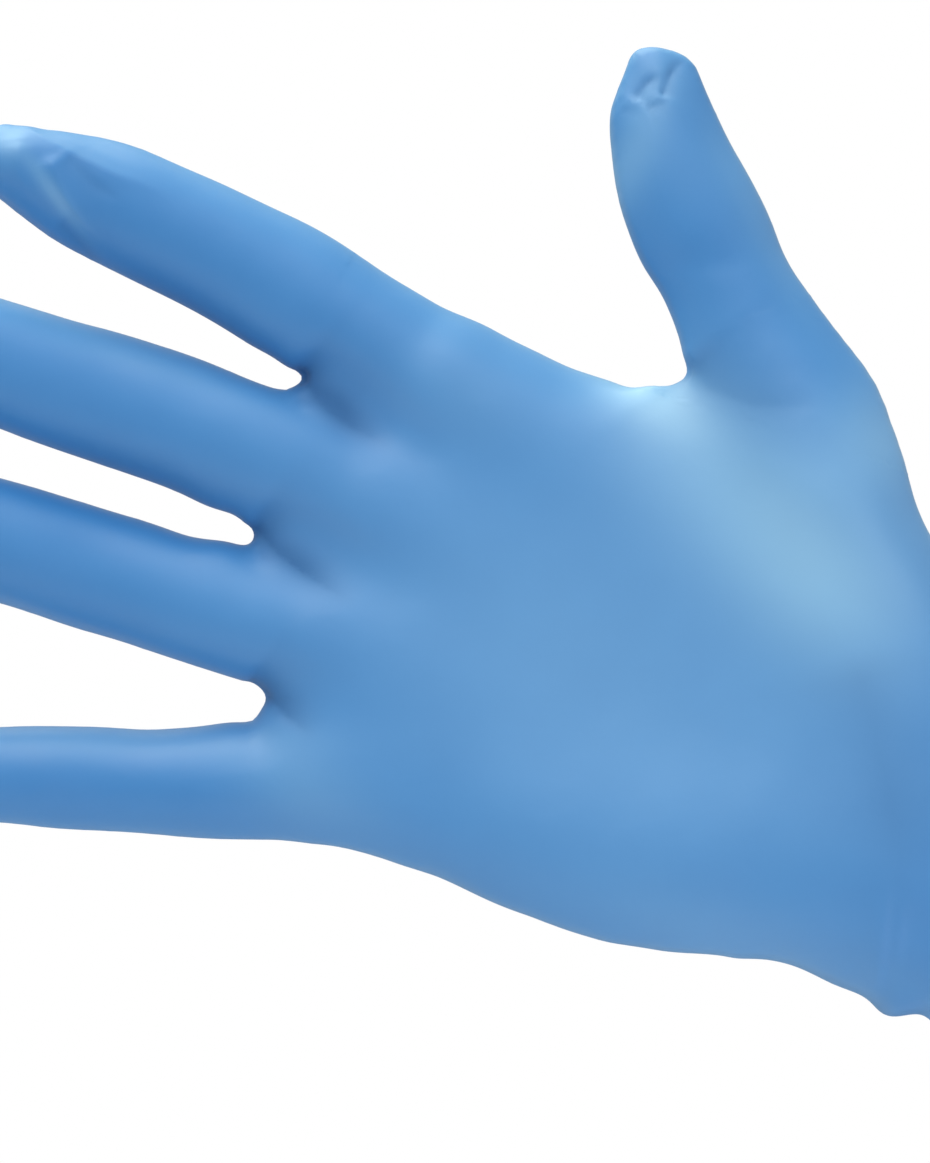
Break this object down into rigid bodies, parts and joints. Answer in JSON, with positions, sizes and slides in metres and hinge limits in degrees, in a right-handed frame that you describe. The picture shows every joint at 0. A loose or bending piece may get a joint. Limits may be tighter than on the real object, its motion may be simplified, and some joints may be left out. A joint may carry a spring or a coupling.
{
  "type": "disposable nitrile glove",
  "caption": "Thin disposable glove for a right hand, fingers spread: a tapered cuff with a rolled bead, a palm, and five stalls that bend at their joints.",
  "frame": {"origin": "centre of the cuff's opening", "axes": "+X out of the cuff along its axis, the fingers towards -X; +Z towards the thumb; the palm faces -Y"},
  "size_m": [0.2408, 0.0548, 0.1595],
  "materials": {
    "film": "satin",
    "folded_film": "satin",
    "bead": "satin"
  },
  "bodies": {
    "cuff": {"cuff_bead": "bead", "cuff_sleeve": "film", "wrist_fold": "folded_film"},
    "hand": {"hand": "film", "index_base_fold": "folded_film", "middle_base_fold": "folded_film", "ring_base_fold": "folded_film", "little_base_fold": "folded_film", "thumb_base_fold": "folded_film"},
    "index_base": {"index_base": "film", "index_middle_fold": "folded_film"},
    "index_middle": {"index_middle": "film", "index_tip_fold": "folded_film"},
    "index_tip": {"index_tip": "film"},
    "middle_base": {"middle_base": "film", "middle_middle_fold": "folded_film"},
    "middle_middle": {"middle_middle": "film", "middle_tip_fold": "folded_film"},
    "middle_tip": {"middle_tip": "film"},
    "ring_base": {"ring_base": "film", "ring_middle_fold": "folded_film"},
    "ring_middle": {"ring_middle": "film", "ring_tip_fold": "folded_film"},
    "ring_tip": {"ring_tip": "film"},
    "little_base": {"little_base": "film", "little_middle_fold": "folded_film"},
    "little_middle": {"little_middle": "film", "little_tip_fold": "folded_film"},
    "little_tip": {"little_tip": "film"},
    "thumb_base": {"thumb_base": "film", "thumb_tip_fold": "folded_film"},
    "thumb_tip": {"thumb_tip": "film"}
  },
  "joints": [
    {"name": "wrist_bend", "type": "hinge", "parent": "cuff", "child": "hand", "pos_m": [-0.048, 0, 0], "axis": [0, 0, 1], "range_deg": [-50, 50], "deforming": ["wrist_fold"]},
    {"name": "index_base_bend", "type": "hinge", "parent": "hand", "child": "index_base", "pos_m": [-0.17289, -0.00537, 0.0334], "axis": [0.0087, 0, 1], "range_deg": [-10, 70], "deforming": ["index_base_fold"]},
    {"name": "index_middle_bend", "type": "hinge", "parent": "index_base", "child": "index_middle", "pos_m": [-0.19054, -0.00605, 0.03355], "axis": [0.0087, 0, 1], "range_deg": [0, 85], "deforming": ["index_middle_fold"]},
    {"name": "index_tip_bend", "type": "hinge", "parent": "index_middle", "child": "index_tip", "pos_m": [-0.2105, -0.00868, 0.03373], "axis": [0.0087, 0, 1], "range_deg": [0, 46.75], "deforming": ["index_tip_fold"]},
    {"name": "middle_base_bend", "type": "hinge", "parent": "hand", "child": "middle_base", "pos_m": [-0.17188, -0.00545, 0.00811], "axis": [-0.1045, 0, 0.9945], "range_deg": [-10, 70], "deforming": ["middle_base_fold"]},
    {"name": "middle_middle_bend", "type": "hinge", "parent": "middle_base", "child": "middle_middle", "pos_m": [-0.1944, -0.00643, 0.00575], "axis": [-0.1045, 0, 0.9945], "range_deg": [0, 85], "deforming": ["middle_middle_fold"]},
    {"name": "middle_tip_bend", "type": "hinge", "parent": "middle_middle", "child": "middle_tip", "pos_m": [-0.21765, -0.00977, 0.0033], "axis": [-0.1045, 0, 0.9945], "range_deg": [0, 46.75], "deforming": ["middle_tip_fold"]},
    {"name": "ring_base_bend", "type": "hinge", "parent": "hand", "child": "ring_base", "pos_m": [-0.16839, -0.00517, -0.01718], "axis": [-0.1392, 0, 0.9903], "range_deg": [-10, 70], "deforming": ["ring_base_fold"]},
    {"name": "ring_middle_bend", "type": "hinge", "parent": "ring_base", "child": "ring_middle", "pos_m": [-0.18886, -0.00605, -0.02006], "axis": [-0.1392, 0, 0.9903], "range_deg": [0, 85], "deforming": ["ring_middle_fold"]},
    {"name": "ring_tip_bend", "type": "hinge", "parent": "ring_middle", "child": "ring_tip", "pos_m": [-0.21054, -0.00927, -0.02311], "axis": [-0.1392, 0, 0.9903], "range_deg": [0, 46.75], "deforming": ["ring_tip_fold"]},
    {"name": "little_base_bend", "type": "hinge", "parent": "hand", "child": "little_base", "pos_m": [-0.15691, -0.00468, -0.04226], "axis": [-0.3907, 0, 0.9205], "range_deg": [-10, 65], "deforming": ["little_base_fold"]},
    {"name": "little_middle_bend", "type": "hinge", "parent": "little_base", "child": "little_middle", "pos_m": [-0.17092, -0.00515, -0.04821], "axis": [-0.3907, 0, 0.9205], "range_deg": [0, 75], "deforming": ["little_middle_fold"]},
    {"name": "little_tip_bend", "type": "hinge", "parent": "little_middle", "child": "little_tip", "pos_m": [-0.18524, -0.00729, -0.05429], "axis": [-0.3907, 0, 0.9205], "range_deg": [0, 41.25], "deforming": ["little_tip_fold"]},
    {"name": "thumb_base_bend", "type": "hinge", "parent": "hand", "child": "thumb_base", "pos_m": [-0.099, -0.009, 0.05], "axis": [0.9928, 0, 0.12], "range_deg": [-15, 50], "deforming": ["thumb_base_fold"]},
    {"name": "thumb_tip_bend", "type": "hinge", "parent": "thumb_base", "child": "thumb_tip", "pos_m": [-0.119, -0.0076, 0.0655], "axis": [0.5668, -0.5736, 0.5914], "range_deg": [-10, 65], "deforming": ["thumb_tip_fold"]}
  ],
  "couplings": [
    {"joint": "index_tip_bend", "follows": "index_middle_bend", "ratio": 0.55},
    {"joint": "middle_tip_bend", "follows": "middle_middle_bend", "ratio": 0.55},
    {"joint": "ring_tip_bend", "follows": "ring_middle_bend", "ratio": 0.55},
    {"joint": "little_tip_bend", "follows": "little_middle_bend", "ratio": 0.55}
  ]
}
